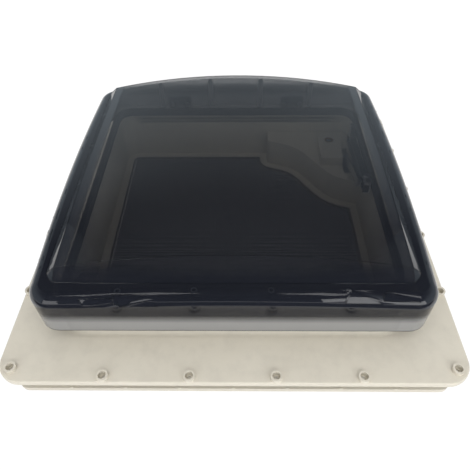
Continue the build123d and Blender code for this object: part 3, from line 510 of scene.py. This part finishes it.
soft_box("strip_left", (-0.6, -1.0, 0.36), (0, 0, 0.08), (0.5, 0.5), 1.9)
soft_box("strip_right", (0.64, -1.0, 0.36), (0, 0, 0.08), (0.6, 0.5), 3.4)
soft_box("top_left", (-0.72, -0.65, 2.1), (0, -0.2, 0.08), (0.6, 0.8), 3.4)
soft_box("top_right", (0.76, -0.65, 2.1), (0, -0.2, 0.08), (0.7, 0.8), 4.6)
key = soft_box("key", (0.1, -1.3, 1.2), (0, 0, 0), (0.9, 0.9), 6.8)
overhead = soft_box("overhead", (0.0, 0.5, 1.9), (0, 0, 0), (1.2, 1.2), 3.4)
for lamp in (key, overhead):
    lamp.visible_glossy = False
print("lamps:", len(bpy.data.lights))

# %% [markdown]
# The floor is white where the camera, a reflection or a clear piece looks at it, apart from a share
# of its shaded surface that keeps the vent's shadow and fades out with the distance. Seen through
# the smoked lid it is the plain shaded floor, so the inside stays dark. From below it is see-through.


# %% Floor
def flat_card(name, corners, material):
    """Four-cornered sheet that isn't part of the object."""
    mesh = bpy.data.meshes.new(name)
    mesh.from_pydata(corners, [], [(0, 1, 2, 3)])
    mesh.materials.append(material)
    card = bpy.data.objects.new(name, mesh)
    bpy.context.scene.collection.objects.link(card)
    return card


def plain_material(name, colour, rough):
    """Plain matt material for what isn't part of the object."""
    material, tree, shader = new_material(name)
    shader.inputs["Base Color"].default_value = (*colour, 1.0)
    shader.inputs["Roughness"].default_value = rough
    shader.inputs["Specular IOR Level"].default_value = 0.0
    return material, tree, shader


floor_grey = (0.8, 0.8, 0.8)
floor_rough = 0.7
floor_glow = 1.13
veil_limit = 0.5
shadow_share = 0.25
shadow_reach = (0.35, 1.1)
floor_gap = 0.0005
floor_reach = 6.0

pale_floor, paint, shaded = plain_material("pale_floor", floor_grey, floor_rough)
glow = node(paint, "ShaderNodeEmission", Color=(1.0, 1.0, 1.0, 1.0), Strength=floor_glow)
spot = paint.nodes.new("ShaderNodeTexCoord")
distance = node(paint, "ShaderNodeVectorMath", operation="LENGTH")
share = node(paint, "ShaderNodeMapRange", interpolation_type="SMOOTHSTEP", From_Min=shadow_reach[0],
             From_Max=shadow_reach[1], To_Min=shadow_share, To_Max=0.0)
glowing = paint.nodes.new("ShaderNodeMixShader")
paint.links.new(spot.outputs["Object"], distance.inputs[0])
paint.links.new(distance.outputs["Value"], share.inputs["Value"])
paint.links.new(share.outputs["Result"], glowing.inputs["Fac"])
paint.links.new(glow.outputs["Emission"], glowing.inputs[1])
paint.links.new(shaded.outputs["BSDF"], glowing.inputs[2])

ray = paint.nodes.new("ShaderNodeLightPath")
unveiled = node(paint, "ShaderNodeMath", operation="LESS_THAN")
unveiled.inputs[1].default_value = veil_limit
direct = node(paint, "ShaderNodeMath", operation="MULTIPLY")
bounced = node(paint, "ShaderNodeMath", operation="MAXIMUM")
looked_at = node(paint, "ShaderNodeMath", operation="MAXIMUM")
from_above = paint.nodes.new("ShaderNodeMixShader")
paint.links.new(ray.outputs["Transparent Depth"], unveiled.inputs[0])
paint.links.new(ray.outputs["Is Camera Ray"], direct.inputs[0])
paint.links.new(unveiled.outputs["Value"], direct.inputs[1])
paint.links.new(ray.outputs["Is Glossy Ray"], bounced.inputs[0])
paint.links.new(ray.outputs["Is Transmission Ray"], bounced.inputs[1])
paint.links.new(direct.outputs["Value"], looked_at.inputs[0])
paint.links.new(bounced.outputs["Value"], looked_at.inputs[1])
paint.links.new(looked_at.outputs["Value"], from_above.inputs["Fac"])
paint.links.new(shaded.outputs["BSDF"], from_above.inputs[1])
paint.links.new(glowing.outputs["Shader"], from_above.inputs[2])

facing = paint.nodes.new("ShaderNodeNewGeometry")
see_through = paint.nodes.new("ShaderNodeBsdfTransparent")
both_sides = paint.nodes.new("ShaderNodeMixShader")
paint.links.new(facing.outputs["Backfacing"], both_sides.inputs["Fac"])
paint.links.new(from_above.outputs["Shader"], both_sides.inputs[1])
paint.links.new(see_through.outputs["BSDF"], both_sides.inputs[2])
paint.links.new(both_sides.outputs["Shader"], paint.nodes["Material Output"].inputs["Surface"])

floor_z = cad_low.z - floor_gap
flat_card("floor", [(-floor_reach, -floor_reach, floor_z), (floor_reach, -floor_reach, floor_z),
                    (floor_reach, floor_reach, floor_z), (-floor_reach, floor_reach, floor_z)], pale_floor)
print("floor at z:", round(floor_z, 4))

# %% [markdown]
# A lid this glossy mirrors the whole room, and in a white room it would look milky. Dark cards that
# only reflections see hang round the vent, as a photographer's black flags do over glossy things.
# The back and side ones are pale at the foot, which gives the crown's far end and the lid's flanks
# their cool sheen, and one lies on the floor in front and darkens the foot of the front bead.

# %% Flags
flag_shade = (0.012, 0.012, 0.013)
flag_rough = 0.9
flag_sheen = (0.8, 0.92, 1.0, 1.0)
sheen_top = 0.03
side_x, back_y, front_y, low_z, high_z = 1.6, 1.3, -1.6, 0.12, 2.4
card_gap, card_back_y = 0.001, -0.3
card_z = floor_z + card_gap


def graded_flag(name, levels, sheen_foot):
    """Dark card that is pale at its foot and fades out upwards."""
    material, tree, shader = plain_material(name, flag_shade, flag_rough)
    spot = tree.nodes.new("ShaderNodeTexCoord")
    split = tree.nodes.new("ShaderNodeSeparateXYZ")
    fade = node(tree, "ShaderNodeMapRange", interpolation_type="SMOOTHSTEP", From_Min=levels[0],
                From_Max=levels[1], To_Min=sheen_foot, To_Max=sheen_top)
    shader.inputs["Emission Color"].default_value = flag_sheen
    tree.links.new(spot.outputs["Object"], split.inputs["Vector"])
    tree.links.new(split.outputs["Z"], fade.inputs["Value"])
    tree.links.new(fade.outputs["Result"], shader.inputs["Emission Strength"])
    return material


flag_black = plain_material("flag_black", flag_shade, flag_rough)[0]
flag_back = graded_flag("flag_graded_back", (0.55, 1.7), 0.95)
flag_side = graded_flag("flag_graded_side", (0.7, 2.2), 0.6)
flags = {
    "flag_back": (flag_back, [(-side_x, back_y, low_z), (side_x, back_y, low_z),
                              (side_x, back_y, high_z), (-side_x, back_y, high_z)]),
    "flag_top": (flag_black, [(-side_x, front_y, high_z), (side_x, front_y, high_z),
                              (side_x, back_y, high_z), (-side_x, back_y, high_z)]),
    "flag_left": (flag_side, [(-side_x, front_y, low_z), (-side_x, back_y, low_z),
                              (-side_x, back_y, high_z), (-side_x, front_y, high_z)]),
    "flag_right": (flag_side, [(side_x, front_y, low_z), (side_x, back_y, low_z),
                               (side_x, back_y, high_z), (side_x, front_y, high_z)]),
    "flag_low_front": (flag_black, [(-side_x, front_y, card_z), (side_x, front_y, card_z),
                                    (side_x, card_back_y, card_z), (-side_x, card_back_y, card_z)]),
    "flag_front": (flag_black, [(-side_x, front_y, low_z), (side_x, front_y, low_z),
                                (side_x, front_y, high_z), (-side_x, front_y, high_z)]),
}
for name, (material, corners) in flags.items():
    flag = flat_card(name, corners, material)
    flag.visible_camera = False
    flag.visible_diffuse = False
    flag.visible_shadow = False
    flag.visible_transmission = False
print("flags:", len(flags))

# %% [markdown]
# The world gives the vent a plain even light, and is white where the camera, a reflection or a clear
# piece looks at it.

# %% World
room_level = 0.62
world = bpy.data.worlds.new("studio")
bpy.context.scene.world = world
world.use_nodes = True
sky = world.node_tree
backdrop = sky.nodes["Background"]
backdrop.inputs["Color"].default_value = (1.0, 1.0, 1.0, 1.0)
sky_ray = sky.nodes.new("ShaderNodeLightPath")
seen = node(sky, "ShaderNodeMath", operation="MAXIMUM")
seen_any = node(sky, "ShaderNodeMath", operation="MAXIMUM")
strength = node(sky, "ShaderNodeMapRange", To_Min=room_level, To_Max=1.0)
sky.links.new(sky_ray.outputs["Is Camera Ray"], seen.inputs[0])
sky.links.new(sky_ray.outputs["Is Glossy Ray"], seen.inputs[1])
sky.links.new(seen.outputs["Value"], seen_any.inputs[0])
sky.links.new(sky_ray.outputs["Is Transmission Ray"], seen_any.inputs[1])
sky.links.new(seen_any.outputs["Value"], strength.inputs["Value"])
sky.links.new(strength.outputs["Result"], backdrop.inputs["Strength"])
bpy.context.scene.view_settings.view_transform = "Standard"
print("world:", world.name)
